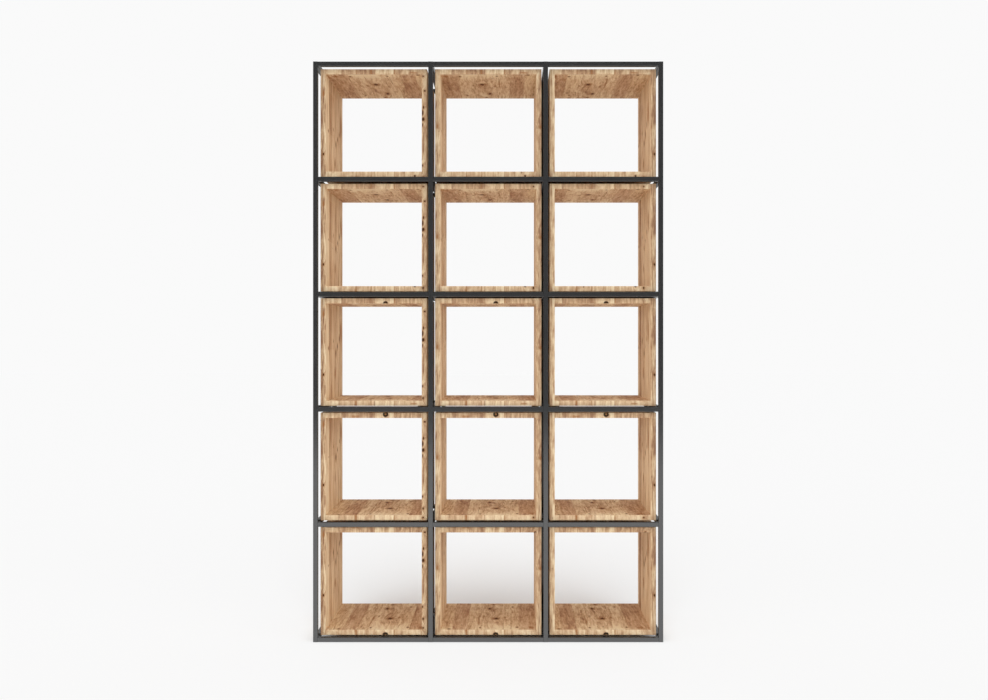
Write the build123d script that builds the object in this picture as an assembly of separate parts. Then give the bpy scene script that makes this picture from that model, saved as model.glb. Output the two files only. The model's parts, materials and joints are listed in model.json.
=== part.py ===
from build123d import *
import os

# Cube storage unit: open wooden cubes held in a cage of square steel tube.
#
# Four welded ladders stand side by side, each a front post, a rear post and a depth rail
# at every level. Short rails space the ladders apart, at the front and at the rear, and a
# tie rod through each line of rails clamps them together, with its nuts sunk flush in the
# outer posts. Every cell of the cage holds one wooden cube, open at the front and the back,
# which stands on steel tabs and is screwed down.
#
# Millimetres, +Z up. The origin is on the floor under the middle of the unit, and the front
# faces -Y.

# Cage
columns = 3
rows = 5
pitch_x = 396.0  # post centre to post centre across the front
pitch_y = 396.0  # front post centre to rear post centre
pitch_z = 396.0  # rail centre to rail centre upwards
tube = 16.0
tube_wall = 1.5
tube_radius = 1.5  # outer corners of the tube

# Wooden cubes
board = 18.0
side_gap = 6.0  # cube to the posts' line, left and right
end_gap = 6.0  # cube to the front and rear rails
top_gap = 5.0  # cube to the rail above
edge_radius = 1.0  # eased long edges of the boards

# Dowels in the cubes' corners
dowel_diameter = 8.0
dowel_in_side = 11.0
dowel_in_deck = 19.0
dowel_end_room = 0.5
dowel_fit = 0.05  # radial
dowel_chamfer = 1.0
dowel_from_screw = 22.0  # along the joint

# Support tabs and the screws that hold the cubes
tab_thickness = 3.0  # the cubes stand this far above the rails
tab_length = 35.0
tab_inset = 25.0  # tab to the post
tab_margin = 8.0  # screw axis to the tab's end
tab_radius = 4.0
screw_diameter = 4.0
screw_length = 16.0
screw_head_diameter = 8.0
screw_head_height = 2.4
screw_head_rounding = 1.2
screw_key_size = 3.0  # hexagon socket across flats
screw_key_depth = 1.5
screw_point = 1.5  # taper at the tip
screw_edge = 8.0  # screw axis to the inner face of the cube's side
screw_tab_fit = 0.25  # radial
screw_wood_fit = 0.05  # radial
screw_end_room = 0.5

# Tie rods, and their nuts inside the outer posts
rod_diameter = 5.0
rod_engagement = 9.0  # rod inside each nut
rod_end_room = 0.5
rod_fit = 0.2  # radial, in the rail plugs
thread_fit = 0.05  # radial, in the nuts
nut_diameter = 10.0
nut_recess = 0.2  # below the post's outer face
nut_chamfer = 0.5
nut_fit = 0.15  # radial, in the post's outer wall
key_size = 5.0  # hexagon socket across flats
key_depth = 3.0

# Plugs in the rail ends, which find the holes in the posts
plug_length = 14.0
plug_fit = 0.1  # each side, in the tube's bore
boss_diameter = 7.4
boss_fit = 0.1  # radial, in the post's wall
boss_room = 0.2  # short of the wall's inner face

# Plugs in the posts' ends: glides on the floor, and caps flush with the top
glide_height = 0.5  # below the steel
glide_chamfer = 0.3
cap_plate = 2.0
leg_height = 14.0
leg_room = 0.4  # leg to the nut

# Sizes that follow
bore = tube - 2 * tube_wall
half_tube = tube / 2
unit_width = columns * pitch_x + tube
post_length = rows * pitch_z + tube
post_xs = [(i - columns / 2) * pitch_x for i in range(columns + 1)]
front_y = -pitch_y / 2
rear_y = pitch_y / 2
level_zs = [glide_height + half_tube + k * pitch_z for k in range(rows + 1)]
cube_xs = [(i - (columns - 1) / 2) * pitch_x for i in range(columns)]

cube_width = pitch_x - tube - 2 * side_gap
cube_depth = pitch_y - tube - 2 * end_gap
cube_height = pitch_z - tube - tab_thickness - top_gap
deck_width = cube_width - 2 * board
cube_base_zs = [z + half_tube + tab_thickness for z in level_zs[:rows]]

screw_y = pitch_y / 2 - half_tube - tab_inset - tab_length / 2
screw_x = half_tube + side_gap + board + screw_edge  # from the post's centre
tab_reach = screw_x + tab_margin
dowel_ys = (-(screw_y - dowel_from_screw), 0.0, screw_y - dowel_from_screw)
plug_side = bore - 2 * plug_fit
nut_length = tube - tube_wall - nut_recess
nut_seat_x = unit_width / 2 - tube + tube_wall
leg_inner = nut_diameter / 2 + leg_room
leg_thickness = plug_side / 2 - leg_inner

ABOVE = (Align.CENTER, Align.CENTER, Align.MIN)
BELOW = (Align.CENTER, Align.CENTER, Align.MAX)
# Turns a shape that stands on Z to point along X, or along Y
ALONG_X = Rot(0, 90, 0)
ALONG_Y = Rot(-90, 0, 0)


def square_tube(length):
    """Hollow tube standing on the origin."""
    outer = Box(tube, tube, length, align=ABOVE)
    outer = fillet(outer.edges().filter_by(Axis.Z), tube_radius)
    return outer - Box(bore, bore, length, align=ABOVE)


def cell_sides(column):
    """Which sides of a ladder have cells: -1 left, 1 right."""
    return [side for side in (-1, 1) if 0 <= column + (side - 1) / 2 < columns]


def post(column):
    """Upright with a hole for the rails' plugs, or for a nut, at each level."""
    upright = square_tube(post_length)
    holes = []
    for side in (-1, 1):
        if side in cell_sides(column):
            radius = boss_diameter / 2 + boss_fit
        else:
            radius = nut_diameter / 2 + nut_fit
        for z in level_zs:
            hole = ALONG_X * Cylinder(radius, half_tube, align=ABOVE if side > 0 else BELOW)
            holes.append(Pos(0, 0, z - glide_height) * hole)
    return Pos(post_xs[column], 0, glide_height) * (upright - holes)


def depth_rails(column):
    """The rungs of one ladder."""
    rail = ALONG_Y * square_tube(pitch_y - tube)
    start = front_y + half_tube
    return [Pos(post_xs[column], start, z) * rail for z in level_zs]


def cross_rails(y, z):
    """One line of short rails between the posts."""
    rail = ALONG_X * square_tube(pitch_x - tube)
    return [Pos(x + half_tube, y, z) * rail for x in post_xs[:columns]]


def rail_plug():
    """Plug for a rail's left end, with its boss towards -X."""
    body = ALONG_X * Box(plug_side, plug_side, plug_length, align=ABOVE)
    boss = ALONG_X * Cylinder(boss_diameter / 2, tube_wall - boss_room, align=BELOW)
    way = ALONG_X * Cylinder(rod_diameter / 2 + rod_fit, 2 * (plug_length + tube_wall))
    return body + boss - way


def rail_plugs():
    """A plug in both ends of every cross rail."""
    left = rail_plug()
    right = Rot(0, 0, 180) * left
    plugs = []
    for y in (front_y, rear_y):
        for z in level_zs:
            for x in post_xs[:columns]:
                plugs.append(Pos(x + half_tube, y, z) * left)
                plugs.append(Pos(x + pitch_x - half_tube, y, z) * right)
    return plugs


def tie_rods():
    """One rod through each line of rails."""
    rod = ALONG_X * Cylinder(rod_diameter / 2, 2 * (nut_seat_x + rod_engagement))
    return [Pos(0, y, z) * rod for y in (front_y, rear_y) for z in level_zs]


def rod_nut():
    """Nut for the right-hand side, its seat at the origin and its key socket towards +X."""
    body = Cylinder(nut_diameter / 2, nut_length, align=ABOVE)
    body = chamfer(body.edges().sort_by(Axis.Z)[-1], nut_chamfer)
    thread = Cylinder(rod_diameter / 2 + thread_fit, rod_engagement + rod_end_room, align=ABOVE)
    socket = extrude(RegularPolygon(key_size / 2, 6, major_radius=False), -key_depth)
    return ALONG_X * (body - thread - Pos(0, 0, nut_length) * socket)


def rod_nuts():
    """A nut on both ends of every tie rod, against the outer posts' inner walls."""
    right = rod_nut()
    left = Rot(0, 0, 180) * right
    nuts = []
    for y in (front_y, rear_y):
        for z in level_zs:
            nuts.append(Pos(nut_seat_x, y, z) * right)
            nuts.append(Pos(-nut_seat_x, y, z) * left)
    return nuts


def post_cap():
    """Plug for a post's lower end, with two legs that grip the front and rear walls."""
    plate = Box(plug_side, plug_side, cap_plate, align=ABOVE)
    leg = Box(plug_side, leg_thickness, leg_height, align=ABOVE)
    leg_y = leg_inner + leg_thickness / 2
    return plate + Pos(0, leg_y, 0) * leg + Pos(0, -leg_y, 0) * leg


def post_glide():
    """The same plug with a foot that keeps the steel off the floor."""
    foot = Box(plug_side, plug_side, glide_height, align=BELOW)
    foot = chamfer(foot.faces().sort_by(Axis.Z)[0].edges(), glide_chamfer)
    return post_cap() + foot


def on_all_posts(plug, z):
    """The same plug in all posts."""
    return [Pos(x, y, z) * plug for y in (front_y, rear_y) for x in post_xs]


def support_tab(column):
    """Plate lying on a depth rail, reaching under the cubes beside it."""
    sides = cell_sides(column)
    left = -tab_reach if -1 in sides else -half_tube
    right = tab_reach if 1 in sides else half_tube
    plate = Pos((left + right) / 2, 0, 0) * Box(right - left, tab_length, tab_thickness, align=ABOVE)
    plate = fillet(plate.edges().filter_by(Axis.Z), tab_radius)
    hole = Cylinder(screw_diameter / 2 + screw_tab_fit, tab_thickness, align=ABOVE)
    return plate - [Pos(side * screw_x, 0, 0) * hole for side in sides]


def support_tabs(level):
    """Front and rear tabs on the depth rails of one level."""
    top = level_zs[level] + half_tube
    tabs = []
    for column in range(columns + 1):
        tab = support_tab(column)
        for y in (-screw_y, screw_y):
            tabs.append(Pos(post_xs[column], y, top) * tab)
    return tabs


def fixing_screw():
    """Screw pointing up, with its head's seat at the origin."""
    shank = Cylinder(screw_diameter / 2, screw_length, align=ABOVE)
    shank = chamfer(shank.edges().sort_by(Axis.Z)[-1], screw_point, screw_point / 2)
    head = Cylinder(screw_head_diameter / 2, screw_head_height, align=BELOW)
    head = fillet(head.edges().sort_by(Axis.Z)[0], screw_head_rounding)
    socket = extrude(RegularPolygon(screw_key_size / 2, 6, major_radius=False), screw_key_depth)
    return shank + head - Pos(0, 0, -screw_head_height) * socket


def fixing_screws():
    """Four screws up through the tabs into each cube."""
    screw = fixing_screw()
    screws = []
    for level in range(rows):
        seat = level_zs[level] + half_tube
        for column in range(columns + 1):
            for side in cell_sides(column):
                for y in (-screw_y, screw_y):
                    screws.append(Pos(post_xs[column] + side * screw_x, y, seat) * screw)
    return screws


def joint_zs():
    """Heights of the decks' middles, from the cube's base."""
    return (board / 2, cube_height - board / 2)


def cube_side():
    """Left side board of a cube, drilled for the dowels in its inner face."""
    plank = Box(board, cube_depth, cube_height, align=(Align.MAX, Align.CENTER, Align.MIN))
    plank = fillet(plank.edges().filter_by(Axis.Z), edge_radius)
    depth = dowel_in_side + dowel_end_room
    hole = ALONG_X * Cylinder(dowel_diameter / 2 + dowel_fit, depth, align=BELOW)
    return plank - [Pos(0, y, z) * hole for y in dowel_ys for z in joint_zs()]


def cube_deck():
    """Top or bottom board of a cube, drilled for the dowels in its ends."""
    plank = Box(deck_width, cube_depth, board)
    plank = fillet(plank.edges().filter_by(Axis.X), edge_radius)
    depth = dowel_in_deck + dowel_end_room
    hole = ALONG_X * Cylinder(dowel_diameter / 2 + dowel_fit, depth, align=ABOVE)
    left = [Pos(-deck_width / 2, y, 0) * hole for y in dowel_ys]
    return plank - left - [Rot(0, 0, 180) * cut for cut in left]


def cube_floor():
    """Bottom board, with the pilot holes of the fixing screws underneath."""
    depth = screw_length - tab_thickness + screw_end_room
    hole = Cylinder(screw_diameter / 2 + screw_wood_fit, depth, align=ABOVE)
    x = deck_width / 2 - screw_edge
    holes = [Pos(i * x, j * screw_y, -board / 2) * hole for i in (-1, 1) for j in (-1, 1)]
    return cube_deck() - holes


def cube_boards():
    """The four boards of a cube that stands on the origin."""
    low, high = joint_zs()
    left = Pos(-deck_width / 2, 0, 0) * cube_side()
    right = Rot(0, 0, 180) * left
    return [left, right, Pos(0, 0, low) * cube_floor(), Pos(0, 0, high) * cube_deck()]


def cube_dowels(base_z):
    """Dowels of one row of cubes."""
    middle = (dowel_in_deck - dowel_in_side) / 2
    dowel = Cylinder(dowel_diameter / 2, dowel_in_side + dowel_in_deck)
    dowel = ALONG_X * chamfer(dowel.edges().filter_by(GeomType.CIRCLE), dowel_chamfer)
    dowels = []
    for x in cube_xs:
        for side in (-1, 1):
            dowel_x = x + side * (deck_width / 2 - middle)
            for y in dowel_ys:
                for z in joint_zs():
                    dowels.append(Pos(dowel_x, y, base_z + z) * dowel)
    return dowels


def write(node, solids):
    """One file for each named piece, or group of like pieces."""
    export_step(Compound(children=list(solids)), f"parts/{node}.step")


os.makedirs("parts", exist_ok=True)

ladder_names = ["left"] + [f"inner_{i}" for i in range(1, columns)] + ["right"]
for column, name in enumerate(ladder_names):
    upright = post(column)
    write(f"front_post_{name}", [Pos(0, front_y, 0) * upright])
    write(f"rear_post_{name}", [Pos(0, rear_y, 0) * upright])
    write(f"depth_rails_{name}", depth_rails(column))

for level, z in enumerate(level_zs):
    write(f"front_rails_level_{level + 1}", cross_rails(front_y, z))
    write(f"rear_rails_level_{level + 1}", cross_rails(rear_y, z))

write("rail_end_plugs", rail_plugs())
write("tie_rods", tie_rods())
write("tie_rod_nuts", rod_nuts())
write("post_floor_glides", on_all_posts(post_glide(), glide_height))
write("post_top_caps", on_all_posts(Rot(180, 0, 0) * post_cap(), glide_height + post_length))

boards = cube_boards()
for row, base_z in enumerate(cube_base_zs):
    write(f"support_tabs_row_{row + 1}", support_tabs(row))
    write(f"cube_dowels_row_{row + 1}", cube_dowels(base_z))
    for column, x in enumerate(cube_xs):
        write(f"cube_row_{row + 1}_column_{column + 1}", [Pos(x, 0, base_z) * b for b in boards])
write("cube_fixing_screws", fixing_screws())
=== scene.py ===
import json
import math

import bmesh
import bpy
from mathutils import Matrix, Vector


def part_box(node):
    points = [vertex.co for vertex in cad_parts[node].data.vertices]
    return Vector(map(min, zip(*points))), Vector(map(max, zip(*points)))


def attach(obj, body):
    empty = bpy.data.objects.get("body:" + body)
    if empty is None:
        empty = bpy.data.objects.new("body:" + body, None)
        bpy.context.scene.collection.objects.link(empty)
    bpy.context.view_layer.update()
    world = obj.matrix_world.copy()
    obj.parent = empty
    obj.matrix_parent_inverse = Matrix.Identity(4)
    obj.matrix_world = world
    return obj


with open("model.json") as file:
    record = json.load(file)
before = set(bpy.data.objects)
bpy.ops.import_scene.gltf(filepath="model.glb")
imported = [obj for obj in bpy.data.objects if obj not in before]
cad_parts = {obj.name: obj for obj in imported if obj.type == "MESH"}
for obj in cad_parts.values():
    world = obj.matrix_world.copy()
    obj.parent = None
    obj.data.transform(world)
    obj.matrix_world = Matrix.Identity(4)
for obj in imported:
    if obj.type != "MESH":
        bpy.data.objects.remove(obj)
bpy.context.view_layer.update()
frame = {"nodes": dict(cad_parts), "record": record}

# Places and sizes read from the frame, in metres
post_low, post_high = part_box("front_post_left")
next_post_low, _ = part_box("front_post_inner_1")
cube_low, cube_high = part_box("cube_row_1_column_1")
upper_cube_low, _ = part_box("cube_row_2_column_1")

ladders = ("left", "inner_1", "inner_2", "right")
rows = sum(name.startswith("support_tabs_row_") for name in frame["nodes"])
levels = rows + 1
tube = post_high.x - post_low.x
half_width = -post_low.x
pitch_x = next_post_low.x - post_low.x
pitch_z = upper_cube_low.z - cube_low.z
cube_width = cube_high.x - cube_low.x
cube_height = cube_high.z - cube_low.z
cube_depth = cube_high.y - cube_low.y
board = 0.018
deck_width = cube_width - 2 * board

# Camera: straight at the front, lens shifted so that the uprights stay parallel
lens = 38.74  # mm, on a 36 mm wide sensor
eye = Vector((0.0746, -3.860, 1.0360))
shift_x = -0.01605
shift_y = -0.0092


def srgb(red, green, blue):
    """A colour written as it looks, 0 to 255, as the linear colour that a shader takes."""
    def linear(level):
        share = level / 255
        return share / 12.92 if share <= 0.04045 else ((share + 0.055) / 1.055) ** 2.4
    return (linear(red), linear(green), linear(blue), 1.0)


class Shade:
    """One output of a shader node. Arithmetic on it adds Math nodes."""

    def __init__(self, finish, node, output=0):
        self.finish = finish
        self.node = node
        self.socket = node.outputs[output] if node.outputs else None

    def output(self, name):
        return Shade(self.finish, self.node, name)

    def math(self, operation, *others):
        return self.finish.node("Math", dict(enumerate((self, *others))), operation=operation)

    def __add__(self, other):
        return self.math("ADD", other)

    def __sub__(self, other):
        return self.math("SUBTRACT", other)

    def __rsub__(self, other):
        return self.finish.node("Math", {0: other, 1: self}, operation="SUBTRACT")

    def __mul__(self, other):
        return self.math("MULTIPLY", other)

    def __truediv__(self, other):
        return self.math("DIVIDE", other)

    def __gt__(self, other):
        return self.math("GREATER_THAN", other)

    def __abs__(self):
        return self.math("ABSOLUTE")

    __radd__ = __add__
    __rmul__ = __mul__

    def step(self, low, high):
        """0 below low, 1 above high, smooth between them."""
        return self.finish.node("MapRange", {0: self, 1: low, 2: high}, interpolation_type="SMOOTHSTEP")

    def fade(self, low, high):
        """1 below low, 0 above high, smooth between them."""
        return 1.0 - self.step(low, high)

    def choose(self, off, on):
        """off where this is 0, on where it is 1."""
        return off + self * (on - off)


class Finish:
    """A shader under construction."""

    def __init__(self, tree):
        self.tree = tree
        tree.nodes.clear()

    def node(self, kind, sockets=None, output=0, stops=None, **settings):
        """A new node: its settings first, then the values or links of its sockets."""
        node = self.tree.nodes.new("ShaderNode" + kind)
        for name, value in settings.items():
            setattr(node, name, value)
        for count, (place, colour) in enumerate(stops or ()):
            elements = node.color_ramp.elements
            stop = elements[count] if count < 2 else elements.new(place)
            stop.position = place
            stop.color = colour
        for key, value in (sockets or {}).items():
            if isinstance(value, Shade):
                self.tree.links.new(value.socket, node.inputs[key])
            else:
                node.inputs[key].default_value = value
        return Shade(self, node, output)

    def place(self):
        """The point's x, y and z in the frame."""
        point = self.node("TexCoord", output="Object")
        parts = self.node("SeparateXYZ", {0: point})
        return parts, parts.output("Y"), parts.output("Z")

    def vector(self, x, y, z):
        return self.node("CombineXYZ", {0: x, 1: y, 2: z})

    def noise(self, vector, scale=1.0, detail=2.0, roughness=0.5):
        sockets = {"Vector": vector, "Scale": scale, "Detail": detail, "Roughness": roughness}
        return self.node("TexNoise", sockets)

    def ramp(self, value, stops, interpolation="LINEAR"):
        ramp = self.node("ValToRGB", {0: value}, stops=stops)
        ramp.node.color_ramp.interpolation = interpolation
        return ramp

    def tint(self, base, colour, amount):
        """base turning into colour by amount."""
        return self.node("Mix", {0: amount, 6: base, 7: colour}, output=2, data_type="RGBA")

    def bump(self, height, depth, strength=1.0):
        return self.node("Bump", {"Height": height, "Distance": depth, "Strength": strength})

    def surface(self, **sockets):
        """A Principled surface; an underscore in a name stands for a space."""
        named = {name.replace("_", " "): value for name, value in sockets.items()}
        body = self.node("BsdfPrincipled", named)
        self.node("OutputMaterial", {"Surface": body})


def new_finish(name):
    material = bpy.data.materials.new(name)
    material.use_nodes = True
    return material, Finish(material.node_tree)


# Cage


def powder_coat():
    """Smooth black powder coat with a faint orange peel. It shines almost alike from all sides."""
    material, coat = new_finish("black_powder_coat")
    point = coat.node("TexCoord", output="Object")
    cloud = coat.noise(point, scale=9.0, detail=3.0)
    peel = coat.noise(point, scale=700.0, detail=1.0)
    grit = coat.noise(point, scale=2600.0, detail=1.0)
    tone = cloud * 0.6 + grit * 0.4
    colour = coat.ramp(tone, [(0.3, srgb(38, 38, 39)), (0.7, srgb(44, 44, 44))])
    coat.surface(
        Base_Color=colour,
        Roughness=cloud * 0.05 + peel * 0.03 + 0.11,
        IOR=5.0,
        Specular_Tint=(0.27, 0.27, 0.27, 1.0),
        Normal=coat.bump(peel, 0.0001, 0.15),
    )
    return material


def moulded_plastic():
    """Matt black plastic of the caps, glides and plugs."""
    material, plastic = new_finish("black_moulded_plastic")
    point = plastic.node("TexCoord", output="Object")
    spark = plastic.noise(point, scale=1800.0)
    cloud = plastic.noise(point, scale=40.0)
    colour = plastic.ramp(cloud, [(0.3, srgb(36, 36, 37)), (0.7, srgb(45, 45, 45))])
    plastic.surface(
        Base_Color=colour,
        Roughness=spark * 0.15 + 0.5,
        Normal=plastic.bump(spark, 0.00015, 0.5),
    )
    return material


def zinc_plate():
    """Bright zinc plating of the rods and screws."""
    material, zinc = new_finish("zinc_plated_steel")
    point = zinc.node("TexCoord", output="Object")
    spangle = zinc.node("TexVoronoi", {"Vector": point, "Scale": 420.0}, output="Color")
    scratch = zinc.noise(point, scale=700.0, detail=3.0)
    colour = zinc.ramp(spangle, [(0.2, srgb(178, 180, 182)), (0.8, srgb(206, 207, 206))])
    zinc.surface(
        Base_Color=colour,
        Metallic=1.0,
        Roughness=scratch * 0.2 + 0.25,
        Normal=zinc.bump(scratch, 0.00005, 0.4),
    )
    return material


# Wood

# The boards are glued up from staves, and the same pattern returns in every cube, slipping a little
# from one cube to the next. Across means across the grain, from the middle of the pattern, and along
# means along the grain.
pattern_slip = 0.0146
pattern_length = 0.3817
pattern_reach = 0.22
right_side_shift = 0.031  # right sides have the left ones' pattern, turned back to front and moved
edge_reach = 0.0012  # the boards' front and rear edges are this deep
row_room = 0.005  # a point this far below a cube still counts as the cube's
face_room = 0.0004  # a point this close to a side counts as the side's
butt_height = 0.2375  # where staves are butted in the sides
butt_edge = 0.165  # and how far out they lie on the front edges

# Staves: where each starts across the board, how pale and how red it is
# The faces' staves are set paler than the edges' staves: partly the wood's own tones, partly painted light
# that brightens the cubes' insides.
deck_staves = (
    (-0.220, 0.66, 0.15),
    (-0.127, 0.49, 0.55),
    (-0.074, 0.70, 0.15),
    (-0.030, 0.62, 0.25),
    (0.052, 0.69, 0.15),
    (0.106, 0.51, 0.55),
)
side_staves = (
    (-0.220, 0.94, 0.00),
    (-0.114, 0.54, 0.30),
    (-0.056, 0.82, 0.20),
    (-0.015, 0.70, 0.30),
    (0.051, 0.76, 0.20),
    (0.121, 0.70, 0.35),
)
edge_staves = (
    (-0.220, 0.37, 0.40),
    (-0.190, 0.61, 0.10),
    (-0.127, 0.49, 0.30),
    (-0.074, 0.56, 0.30),
    (-0.027, 0.38, 0.40),
    (-0.012, 0.74, 0.10),
    (0.054, 0.54, 0.20),
    (0.112, 0.59, 0.25),
    (0.171, 0.52, 0.40),
    (0.187, 0.46, 0.30),
)

# Knots and marks: place across and along, half width, half length
deck_knots = (
    (0.0256, -0.0365, 0.0095, 0.0125),
    (-0.0006, 0.1040, 0.0062, 0.0150),
    (0.0140, 0.1630, 0.0052, 0.0070),
    (0.0850, 0.1290, 0.0030, 0.0060),
    (-0.0290, -0.1580, 0.0030, 0.0055),
    (0.1000, -0.1520, 0.0035, 0.0065),
    (-0.1370, -0.1740, 0.0045, 0.0060),
)
deck_marks = (
    (-0.0180, -0.0050, 0.0050, 0.0180),
    (0.0570, -0.0210, 0.0050, 0.0170),
    (0.1500, -0.1550, 0.0110, 0.0150),
    (-0.0360, -0.0600, 0.0030, 0.0700),
)
side_knots = (
    (0.0310, 0.2230, 0.0066, 0.0095),
    (0.0660, 0.2480, 0.0052, 0.0080),
    (0.1100, 0.2750, 0.0050, 0.0085),
    (-0.0240, 0.2680, 0.0040, 0.0070),
    (-0.1290, 0.2420, 0.0042, 0.0040),
)
side_marks = (
    (0.0140, 0.1500, 0.0160, 0.0220),
    (0.1470, 0.3070, 0.0240, 0.0440),
    (-0.0900, 0.3000, 0.0060, 0.0500),
    (0.0850, 0.1000, 0.0050, 0.0600),
)
edge_knots = (
    (0.1560, 0.2715, 0.0068, 0.0088),
    (0.1548, 0.2950, 0.0032, 0.0130),
    (0.1575, 0.3130, 0.0028, 0.0070),
    (0.1545, 0.2520, 0.0024, 0.0080),
    (0.1620, 0.3700, 0.0042, 0.0036),
    (0.1276, 0.0758, 0.0040, 0.0042),
    (0.1560, 0.0700, 0.0036, 0.0048),
    (0.1560, 0.0388, 0.0038, 0.0038),
    (0.1540, 0.1120, 0.0030, 0.0055),
    (-0.1890, 0.1515, 0.0036, 0.0060),
    (0.1927, 0.1515, 0.0036, 0.0060),
)
edge_marks = (
    (0.1250, 0.0510, 0.0150, 0.0030),
    (0.1780, 0.2450, 0.0050, 0.0060),
    (-0.1760, 0.2470, 0.0050, 0.0090),
    (-0.1890, 0.3600, 0.0060, 0.0110),
    (0.0560, 0.0350, 0.0034, 0.0300),
    (-0.0760, 0.0500, 0.0036, 0.0500),
    (-0.0235, 0.0600, 0.0036, 0.0400),
    (-0.0800, 0.0060, 0.0140, 0.0070),
)
edge_round_knot = (0.0260, 0.0145, 0.0094, 0.0094)
deck_eye = (0.0160, 0.0350, 0.0340, 0.1050)  # the oval of figure round the decks' large knots
knot_least = 0.50  # side knots have at least this share of their size
knot_spread = 0.75  # and up to this share more

# Zones of the knots, marks and eyes, and how ragged their outlines are, in their own radii
swirl_zone = (0.6, 4.5)
halo_zone = (0.8, 2.4)
knot_zone = (0.55, 1.05)
core_zone = (0.25, 0.6)
edge_core_growth = 0.20
knot_wobble = 0.9
mark_zone = (0.35, 1.3)
mark_wobble = 0.5
mark_streak = 2.4
eye_zone = (0.6, 1.0)
eye_ring_zone = (0.0, 0.25)  # to both sides of the ring
round_core_zone = (0.2, 0.6)
round_rim_start = (0.2, 0.45)
round_rim_end = (0.9, 1.15)
round_knot_wobble = 0.35
far_away = 50.0  # no round knot shows off the edges

# Where a change of tone begins and ends, across a board or from front to rear
glue_line = (0.0002, 0.0010)
butt_fade = (-0.02, 0.0)
pale_front = (-0.185, -0.080)  # of the decks
pale_middle = 0.035
pale_beside = (0.045, 0.085)  # from that middle
dark_rear = (-0.10, 0.18)  # of the decks
pale_side_front = (-0.185, -0.10)
dark_side_rear = (0.06, 0.09)  # of the right sides

# How much paler or darker the wood gets there
front_paler = 0.34
eye_ring_paler = 0.12
eye_darker = 0.07
top_paler = 0.03
rear_darker = 0.05
side_front_paler = 0.10
side_rear_darker = 0.18
butt_darker = 0.09
deck_edge_paler = 0.09
# painted shade: the top boards' front edges are darkened as if by the rail just above them
top_edge_painted_shade = 0.20
butt_edge_darker = 0.12
glue_darker = 0.14

# Waves per metre across, through and along the grain
wobble_waves = (180.0, 180.0, 90.0)
bend_waves = (14.0, 14.0, 8.0)
curl_waves = (70.0, 70.0, 38.0)
band_waves = (34.0, 60.0, 2.6)
grain_waves = (260.0, 200.0, 13.0)
mottle_waves = (75.0, 75.0, 48.0)
fibre_waves = (1100.0, 900.0, 26.0)
pore_waves = (620.0, 620.0, 34.0)
pin_waves = (26.0, 26.0, 15.0)
streak_through_waves = 70.0
streak_along_waves = 7.0
ring_waves = 230.0

# How the figure differs between the decks' faces, the sides' faces and the edges. Of four values the
# third is for the decks' edges and the last for the sides' edges.
streak_across_waves = (120.0, 120.0, 75.0, 120.0)
streak_shortness = (1.7, 1.1, 1.6)
bend_depth = (0.022, 0.022, 0.010)
curl_depth = (0.007, 0.003, 0.0015)
band_strength = (0.90, 1.20, 1.10, 0.50)
streak_strength = (1.25, 1.75, 1.70, 1.60)
grain_strength = (1.15, 1.50, 0.80, 2.10)
mottle_strength = (0.90, 0.35, 1.20, 0.90)
pin_rarity = (0.50, 0.66, 0.50)

# The figure on all faces alike
swirl_depth = 0.008  # how far the grain bends round a knot
ring_bend = 3.0
ring_streak = 1.6
ring_strength = 0.12
fibre_strength = 0.24
pore_level = (0.63, 0.74)
pore_darker = 0.10
pin_zone = (0.035, 0.085)  # in waves, like the next
pin_wobble = 0.04
pin_strength = 0.8

# Numbers that only keep the patterns of staves, cubes, boards and knots apart
pale_seed = 31.0
red_seed = 57.0
column_seed = 5.7
row_seed = 3.1
cube_seed_share = 0.3
top_seed = 3.0
right_seed = 4.0
side_seed = 2.0
edge_seed = 9.0
knot_seed = 7.3

# Colours, and how fully each covers the wood
wood_tones = (
    (0.0, srgb(146, 100, 68)),
    (0.28, srgb(180, 138, 102)),
    (0.52, srgb(207, 170, 131)),
    (0.76, srgb(225, 194, 154)),
    (1.0, srgb(240, 216, 178)),
)
red_wood = srgb(186, 138, 110)
red_cover = 0.45
red_range = (0.1, 1.0)
red_band = 0.6
greyed_edge = srgb(186, 177, 156)
greyed_edge_cover = 0.14
stain_brown = srgb(158, 102, 56)
stain_cover = 0.72
edge_halo_cover = 0.60
knot_brown = srgb(104, 60, 26)
knot_cover = 0.94
core_brown = srgb(62, 34, 14)
core_cover = 0.82
round_core_brown = srgb(150, 104, 62)
round_core_cover = 0.90
round_rim_brown = srgb(36, 16, 4)
round_rim_cover = 0.97
relief = 0.0006


def stave_layout(wood, staves, across):
    """Paleness, redness, a number for the grain and the nearness to a glue line, stave by stave."""
    span = 2 * pattern_reach
    stops = [(start / span + 0.5, (pale, red, 0.0, 1.0)) for start, pale, red in staves]
    parts = wood.node("SeparateColor", {0: wood.ramp(across / span + 0.5, stops, "CONSTANT")})
    pale = parts
    red = parts.output("Green")
    line = None
    for start, _, _ in staves[1:]:
        gap = abs(across - start)
        line = gap if line is None else line.math("MINIMUM", gap)
    return pale, red, pale * pale_seed + red * red_seed, line


def spot_distance(across, along, spot):
    """How far a point lies from a spot, in the spot's own radii."""
    spot_across, spot_along, half_breadth, half_length = spot
    aside = (across - spot_across) / half_breadth
    onward = (along - spot_along) / half_length
    return (aside * aside + onward * onward).math("SQRT")


def nearest(across, along, spots, cube_seed=None):
    """How far a point lies from the nearest of some spots, in that spot's own radii.

    With a seed, each spot is smaller or larger from cube to cube.
    """
    least = None
    for count, spot in enumerate(spots):
        distance = spot_distance(across, along, spot)
        if cube_seed is not None:
            spot_seed = cube_seed + count * knot_seed
            chance = across.finish.node("TexWhiteNoise", {"W": spot_seed}, noise_dimensions="1D")
            distance = distance / (chance * knot_spread + knot_least)
        least = distance if least is None else least.math("MINIMUM", distance)
    return least


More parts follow.
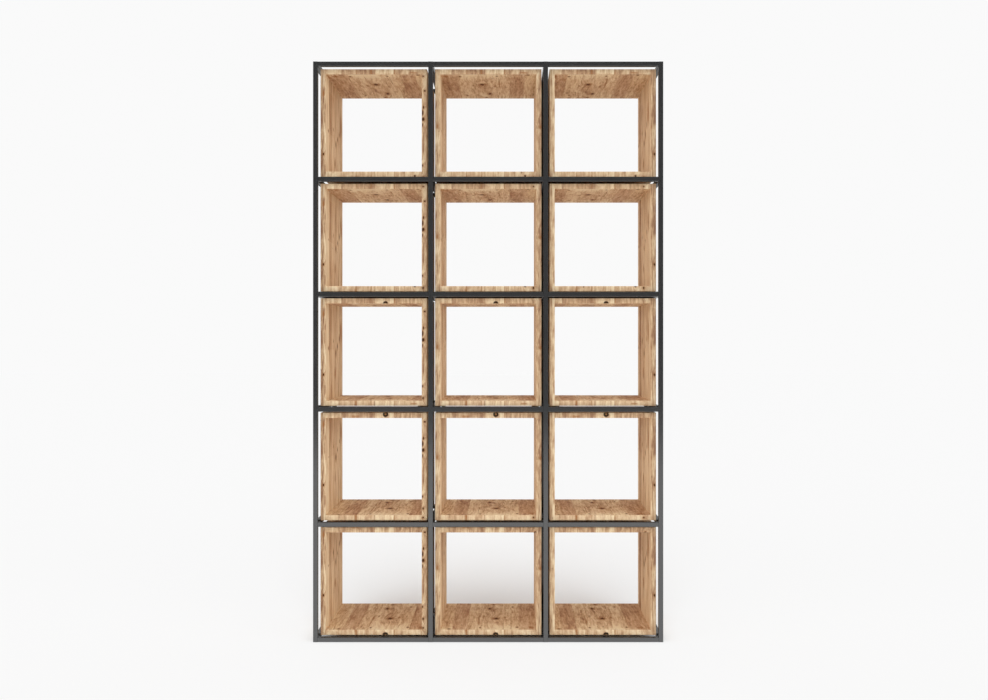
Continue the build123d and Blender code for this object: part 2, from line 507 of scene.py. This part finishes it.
def stave_wood():
    """Knotty stave board. Everything is placed inside the point's own cube."""
    material, wood = new_finish("knotty_stave_board")
    x, y, z = wood.place()
    column = (x / pitch_x).math("ROUND")
    row = ((z - cube_low.z + row_room) / pitch_z).math("FLOOR")
    cube_x = x - column * pitch_x
    cube_z = z - cube_low.z - row * pitch_z
    side = abs(cube_x) > deck_width / 2 - face_room
    edge = abs(y) > cube_depth / 2 - edge_reach
    top = cube_z > cube_height / 2
    right = cube_x > 0.0
    cube_seed = column * column_seed + row * row_seed

    def by_face(deck_face, side_face, deck_edge, side_edge=None):
        """The value of the point's own face. Without a fourth value all the edges share the third."""
        edge_value = deck_edge if side_edge is None else side.choose(deck_edge, side_edge)
        return edge.choose(side.choose(deck_face, side_face), edge_value)

    # Where the point lies in the pattern of its face
    front_across = cube_x + column * pattern_slip
    deck_across = front_across * (1.0 - top * 2.0)
    side_across = right.choose(y, right_side_shift - y)
    climb = cube_z + (row + 1.0) * pattern_slip
    rise = (climb / pattern_length).math("FRACT") * pattern_length
    across = by_face(deck_across, side_across, front_across)
    along = by_face(y, climb, climb)
    through = by_face(cube_z, cube_x, y)

    def spread(waves, aside, onward, shift=0.0):
        """The point for a texture that repeats in these waves across, through and along the grain."""
        aside_waves, through_waves, onward_waves = waves
        return wood.vector(aside * aside_waves, through * through_waves, onward * onward_waves + shift)

    layouts = zip(
        stave_layout(wood, deck_staves, deck_across),
        stave_layout(wood, side_staves, side_across),
        stave_layout(wood, edge_staves, front_across),
    )
    pale, red, stave_seed, line = (by_face(*values) for values in layouts)
    board_seed = cube_seed * cube_seed_share
    seed = stave_seed + by_face(
        top * top_seed + board_seed,
        right * right_seed + board_seed + side_seed,
        edge_seed,
    )
    glue = line.fade(*glue_line)

    # Staves butted in the sides, the pale front of the decks, and the eye round their large knots
    butted = (rise > butt_height) * by_face(0.0, side_across.fade(*butt_fade), abs(front_across) > butt_edge)
    front_pale = y.fade(*pale_front) * abs(deck_across - pale_middle).fade(*pale_beside)
    right_rear = right * y.step(*dark_side_rear)
    eye_distance = spot_distance(deck_across, y, deck_eye)
    eye_ring = abs(eye_distance - 1.0).fade(*eye_ring_zone)
    eye_tone = eye_ring * eye_ring_paler - eye_distance.fade(*eye_zone) * eye_darker
    placed = by_face(
        front_pale * front_paler + eye_tone + top * top_paler - y.step(*dark_rear) * rear_darker,
        y.fade(*pale_side_front) * side_front_paler - right_rear * side_rear_darker - butted * butt_darker,
        # the top boards' front edges get painted shade, as of the rail above them
        (1.0 - side) * (deck_edge_paler - top * top_edge_painted_shade) - butted * butt_edge_darker,
    )

    # Knots, and the grain that bends round them
    wobble = wood.noise(spread(wobble_waves, across, along), detail=3.0) - 0.5
    knot = by_face(
        nearest(deck_across, y, deck_knots),
        nearest(side_across, rise, side_knots, cube_seed),
        nearest(front_across, rise, edge_knots),
    ) + wobble * knot_wobble
    mark = by_face(
        nearest(deck_across, y, deck_marks),
        nearest(side_across, rise, side_marks),
        nearest(front_across, rise, edge_marks),
    ) + wobble * mark_wobble
    swirl = knot.fade(*swirl_zone) * swirl_depth
    round_knot = (
        spot_distance(front_across, rise, edge_round_knot)
        + wobble * round_knot_wobble
        + (1.0 - edge) * far_away
    )

    # Figure of the wood, from broad bends down to pores
    bend = wood.noise(spread(bend_waves, across, along, seed)) - 0.5
    curl = wood.noise(spread(curl_waves, across, along, seed)) - 0.5
    flow = across + bend * by_face(*bend_depth) + curl * by_face(*curl_depth) + swirl
    reach = along * by_face(*streak_shortness)
    streak_waves = (by_face(*streak_across_waves), streak_through_waves, streak_along_waves)
    streak = wood.noise(spread(streak_waves, flow, reach, seed * 3.0), detail=4.0, roughness=0.62)
    grain = wood.noise(spread(grain_waves, flow, reach, seed * 7.0))
    mottle = wood.noise(spread(mottle_waves, across, along, seed * 2.0), detail=4.0, roughness=0.65)
    band = wood.noise(spread(band_waves, flow, along, seed * 5.0))
    ring_count = flow * ring_waves + bend * ring_bend + streak * ring_streak + seed
    ring = abs(ring_count.math("FRACT") - 0.5) * 2.0
    fibre = wood.noise(spread(fibre_waves, flow, along, seed), detail=3.0, roughness=0.7)
    pore = wood.noise(spread(pore_waves, flow, along, seed * 2.0), detail=1.0).step(*pore_level)
    tone = (
        pale
        + placed
        + (band - 0.5) * by_face(*band_strength)
        + (streak - 0.5) * by_face(*streak_strength)
        + (grain - 0.5) * by_face(*grain_strength)
        + (mottle - 0.5) * by_face(*mottle_strength)
        + (ring - 0.5) * ring_strength
        + (fibre - 0.5) * fibre_strength
        - pore * pore_darker
        - glue * glue_darker
    )

    # Pin knots, a few in every board, different from cube to cube
    speck = wood.node("TexVoronoi", {"Vector": spread(pin_waves, across, along, cube_seed), "Scale": 1.0})
    rare = wood.node("SeparateColor", {0: speck.output("Color")}) > by_face(*pin_rarity)
    pin = (speck + wobble * pin_wobble).fade(*pin_zone) * rare

    # Stain round the knots and in the marks, and the parts of the knots
    halo = knot.fade(*halo_zone) * edge.choose(1.0, edge_halo_cover)
    stain = halo.math("MAXIMUM", (mark + (streak - 0.5) * mark_streak).fade(*mark_zone))
    dark = knot.fade(*knot_zone).math("MAXIMUM", pin * pin_strength)
    core = (knot - edge * edge_core_growth).fade(*core_zone)
    round_core = round_knot.fade(*round_core_zone)
    round_rim = round_knot.fade(*round_rim_end) * round_knot.step(*round_rim_start)
    redness = (red + (band - 0.5) * red_band).step(*red_range)

    colour = wood.ramp(tone, wood_tones)
    colour = wood.tint(colour, red_wood, redness * red_cover)
    colour = wood.tint(colour, greyed_edge, edge * greyed_edge_cover)
    colour = wood.tint(colour, stain_brown, stain * stain_cover)
    colour = wood.tint(colour, knot_brown, dark * knot_cover)
    colour = wood.tint(colour, core_brown, core * core_cover)
    colour = wood.tint(colour, round_core_brown, round_core * round_core_cover)
    colour = wood.tint(colour, round_rim_brown, round_rim * round_rim_cover)
    height = fibre * 0.35 + streak * 0.4 - pore * 0.5 - glue * 0.5 - dark * 0.7 - round_rim * 0.6
    wood.surface(
        Base_Color=colour,
        Roughness=0.66 - tone * 0.08 + fibre * 0.12,
        Specular_IOR_Level=0.04,
        Normal=wood.bump(height, relief, 0.55),
    )
    return material


def dowel_wood():
    """Plain fluted beech."""
    material, beech = new_finish("plain_beech")
    x, y, z = beech.place()
    fleck = beech.noise(beech.vector(x * 40.0, y * 900.0, z * 900.0), detail=3.0)
    colour = beech.ramp(fleck, [(0.3, srgb(196, 156, 116)), (0.7, srgb(220, 186, 146))])
    beech.surface(
        Base_Color=colour,
        Roughness=fleck * 0.2 + 0.5,
        Normal=beech.bump(fleck, 0.0002, 0.4),
    )
    return material


finish_of_slot = {
    "frame_powder_coat": powder_coat(),
    "cube_boards": stave_wood(),
    "dowels": dowel_wood(),
    "black_plastic": moulded_plastic(),
    "zinc_steel": zinc_plate(),
}
for part in frame["record"]["subparts"]:
    for slot in frame["nodes"][part["node"]].material_slots:
        slot.material = finish_of_slot[part["material_slot"]]


# Weld beads

bead_leg = 0.0028
bead_ripple = 0.0032  # one puddle to the next
bead_sink = 0.0001
bead_sides = 6
bead_steps = 5  # sections in each puddle
bead_dip = 0.14  # share of the leg lost between two puddles
bead_hollow = 0.20  # share of the leg lost halfway round the bead
bead_end = 0.45  # share of the leg at a bead's ends
bead_taper = 6.0  # how fast the ends fill up
ladder_bead_inset = 0.10  # share of the tube left bare beside a bead
tab_bead_inset = 0.12


def weld_bead(mesh, start, run, out, up):
    """A rippled fillet bead from start along run, in the corner between the directions out and up."""
    puddles = max(2, round(run.length / bead_ripple))
    sections = puddles * bead_steps
    corner = start - (out + up) * bead_sink
    rings = []
    for i in range(sections + 1):
        share = i / sections
        ripple = 1 - bead_dip + bead_dip * abs(math.sin(math.pi * share * puddles))
        taper = min(1.0, bead_end + bead_taper * min(share, 1 - share))
        leg = bead_leg * ripple * taper
        centre = corner + run * share
        ring = [mesh.verts.new(centre)]
        for k in range(bead_sides + 1):
            turn = k / bead_sides * math.pi / 2
            reach = leg * (1 - bead_hollow + bead_hollow * abs(math.cos(2 * turn)))
            ring.append(mesh.verts.new(centre + (out * math.cos(turn) + up * math.sin(turn)) * reach))
        rings.append(ring)
    around = bead_sides + 2
    for near, far in zip(rings, rings[1:]):
        for k in range(around):
            n = (k + 1) % around
            mesh.faces.new((near[k], near[n], far[n], far[k]))
    mesh.faces.new(rings[0])
    mesh.faces.new(rings[-1])


def weld_piece(name, beads):
    """One piece holding all the beads of a ladder or a row of tabs."""
    mesh = bmesh.new()
    for bead in beads:
        weld_bead(mesh, *bead)
    bmesh.ops.recalc_face_normals(mesh, faces=mesh.faces)
    data = bpy.data.meshes.new(name)
    mesh.to_mesh(data)
    mesh.free()
    for face in data.polygons:
        face.use_smooth = True
    data.materials.append(finish_of_slot["frame_powder_coat"])
    piece = bpy.data.objects.new(name, data)
    bpy.context.scene.collection.objects.link(piece)
    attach(piece, "root")


def ladder_beads(ladder):
    """Beads above and below both ends of a ladder's depth rails, inside the posts' corners."""
    low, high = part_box(f"depth_rails_{ladder}")
    inset = tube * ladder_bead_inset
    left = low.x + inset
    run = Vector((high.x - low.x - 2 * inset, 0, 0))
    beads = []
    for level in range(levels):
        rail_low = low.z + level * pitch_z
        for end, inward in ((low.y, 1), (high.y, -1)):
            out = Vector((0, inward, 0))
            if level < levels - 1:
                beads.append((Vector((left, end, rail_low + tube)), run, out, Vector((0, 0, 1))))
            if level > 0:
                beads.append((Vector((left, end, rail_low)), run, out, Vector((0, 0, -1))))
    return beads


def tab_beads(row):
    """Beads across the rails at both ends of each support tab."""
    tabs = frame["nodes"][f"support_tabs_row_{row}"].data
    ys = sorted({round(v.co.y, 5) for v in tabs.vertices})
    front_tab = (ys[0], max(v for v in ys if v < 0))
    rear_tab = (min(v for v in ys if v > 0), ys[-1])
    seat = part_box(f"support_tabs_row_{row}")[0].z
    inset = tube * tab_bead_inset
    beads = []
    for ladder in ladders:
        low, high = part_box(f"depth_rails_{ladder}")
        run = Vector((high.x - low.x - 2 * inset, 0, 0))
        for near, far in (front_tab, rear_tab):
            for end, outward in ((near, -1), (far, 1)):
                start = Vector((low.x + inset, end, seat))
                beads.append((start, run, Vector((0, outward, 0)), Vector((0, 0, 1))))
    return beads


for ladder in ladders:
    weld_piece(f"ladder_welds_{ladder}", ladder_beads(ladder))
for row in range(1, rows + 1):
    weld_piece(f"tab_welds_row_{row}", tab_beads(row))


# Studio

paper_white = 0.955  # how bright the ground looks in the picture
paper_shade = 0.95  # how much light the paper throws back
sky_level = 0.77  # light from all round
floor_reach = 30.0
shade_margin = 0.08  # the shadow fades over this reach beside the unit's footprint
shade_spread = 0.45  # and the reach widens by this share of the way behind
front_fade = 0.05  # and over this reach under its front
shade_lift = 0.88  # how much of the shadow is taken away outside the footprint

# Lamps, turned from straight in front and raised, in degrees
lamp_spread = 50.0
front_lamp_level = 0.75
front_lamp_turn = 48.0
front_lamp_rise = 22.0
rear_lamp_level = 0.30
rear_lamp_turn = 130.0
rear_lamp_rise = 12.0
low_lamp_width = 2.2
low_lamp_height = 0.2
low_lamp_power = 1.7  # watts
low_lamp_distance = 1.2
low_lamp_spread = 120.0
low_lamp_tilt = 15.0  # upwards

# Dark cards, which keep the white studio out of the tubes' reflections
card_reach = 5.0
card_lift = 0.04
front_card_level = 0.15
front_card_distance = 7.0
side_card_level = 0.06
side_card_distance = 6.0


def seen_directly(finish):
    """1 where the camera, a reflection or clear stuff looks, 0 where a surface gathers its light."""
    path = finish.node("LightPath", output="Is Camera Ray")
    return (path + path.output("Is Glossy Ray") + path.output("Is Transmission Ray")).math("MINIMUM", 1.0)


def white_paper():
    """White paper. Its shadow shows fully behind the unit, and faintly beside and before it."""
    material, paper = new_finish("white_paper")
    x, y, _ = paper.place()
    behind = y.step(post_low.y - front_fade / 2, post_low.y + front_fade)
    margin = y.math("MAXIMUM", 0.0) * shade_spread + shade_margin
    within = abs(x).fade(half_width - margin, half_width + margin)
    lifted = seen_directly(paper) * (1.0 - behind * within) * shade_lift
    plain = paper.node("BsdfDiffuse", {"Color": (paper_shade, paper_shade, paper_shade, 1.0)})
    bright = paper.node("Emission", {"Color": (1.0, 1.0, 1.0, 1.0), "Strength": paper_white})
    paper.node("OutputMaterial", {"Surface": paper.node("MixShader", {0: lifted, 1: plain, 2: bright})})
    return material


def square_sheet(name, reach, material, place=(0, 0, 0), turn=(0, 0, 0)):
    """A square sheet, flat on the ground unless it is placed and turned."""
    mesh = bmesh.new()
    bmesh.ops.create_grid(mesh, x_segments=2, y_segments=2, size=reach)
    data = bpy.data.meshes.new(name)
    mesh.to_mesh(data)
    mesh.free()
    data.materials.append(material)
    sheet = bpy.data.objects.new(name, data)
    sheet.location = place
    sheet.rotation_euler = turn
    bpy.context.scene.collection.objects.link(sheet)
    return sheet


def dark_card(name, level, x, y, turn):
    """An upright dark card, turned from facing the front, which only reflections show."""
    material, card = new_finish(name)
    matt = card.node("BsdfDiffuse", {"Color": (level, level, level, 1.0)})
    card.node("OutputMaterial", {"Surface": matt})
    place = (x, y, card_reach + card_lift)
    sheet = square_sheet(name, card_reach, material, place, (math.pi / 2, 0, math.radians(turn)))
    sheet.visible_camera = False
    sheet.visible_diffuse = False
    sheet.visible_shadow = False


def sky():
    """Even light from all round, and the white of the background."""
    world = bpy.data.worlds.new("studio")
    world.use_nodes = True
    bpy.context.scene.world = world
    air = Finish(world.node_tree)
    plain = air.node("Background", {"Color": (1.0, 1.0, 1.0, 1.0), "Strength": sky_level})
    bright = air.node("Background", {"Color": (1.0, 1.0, 1.0, 1.0), "Strength": paper_white})
    mixed = air.node("MixShader", {0: seen_directly(air), 1: plain, 2: bright})
    air.node("OutputWorld", {"Surface": mixed})


def broad_lamp(name, level, turn, rise):
    """Distant light without glints."""
    light = bpy.data.lights.new(name, "SUN")
    light.energy = level
    light.angle = math.radians(lamp_spread)
    lamp = bpy.data.objects.new(name, light)
    lamp.rotation_euler = (math.radians(90.0 - rise), 0, math.radians(turn))
    lamp.visible_glossy = False
    bpy.context.scene.collection.objects.link(lamp)


def low_lamp():
    """A wide low light before the unit, out of sight, as from a pale floor."""
    light = bpy.data.lights.new("low_lamp", "AREA")
    light.shape = "RECTANGLE"
    light.size = low_lamp_width
    light.size_y = low_lamp_height
    light.energy = low_lamp_power
    light.spread = math.radians(low_lamp_spread)
    lamp = bpy.data.objects.new("low_lamp", light)
    lamp.location = (0, post_low.y - low_lamp_distance, low_lamp_height)
    lamp.rotation_euler = (math.radians(90.0 + low_lamp_tilt), 0, 0)
    lamp.visible_camera = False
    lamp.visible_glossy = False
    bpy.context.scene.collection.objects.link(lamp)


def camera():
    data = bpy.data.cameras.new("camera")
    data.lens = lens
    data.shift_x = shift_x
    data.shift_y = shift_y
    seat = bpy.data.objects.new("camera", data)
    seat.location = eye
    seat.rotation_euler = (math.pi / 2, 0, 0)
    bpy.context.scene.collection.objects.link(seat)
    bpy.context.scene.camera = seat


square_sheet("floor", floor_reach, white_paper())
dark_card("front_card", front_card_level, 0, -front_card_distance, 0.0)
dark_card("left_card", side_card_level, -side_card_distance, 0, 90.0)
dark_card("right_card", side_card_level, side_card_distance, 0, 90.0)
sky()
broad_lamp("front_lamp_left", front_lamp_level, -front_lamp_turn, front_lamp_rise)
broad_lamp("front_lamp_right", front_lamp_level, front_lamp_turn, front_lamp_rise)
broad_lamp("rear_lamp_left", rear_lamp_level, -rear_lamp_turn, rear_lamp_rise)
broad_lamp("rear_lamp_right", rear_lamp_level, rear_lamp_turn, rear_lamp_rise)
low_lamp()
camera()
bpy.context.scene.view_settings.view_transform = "Standard"
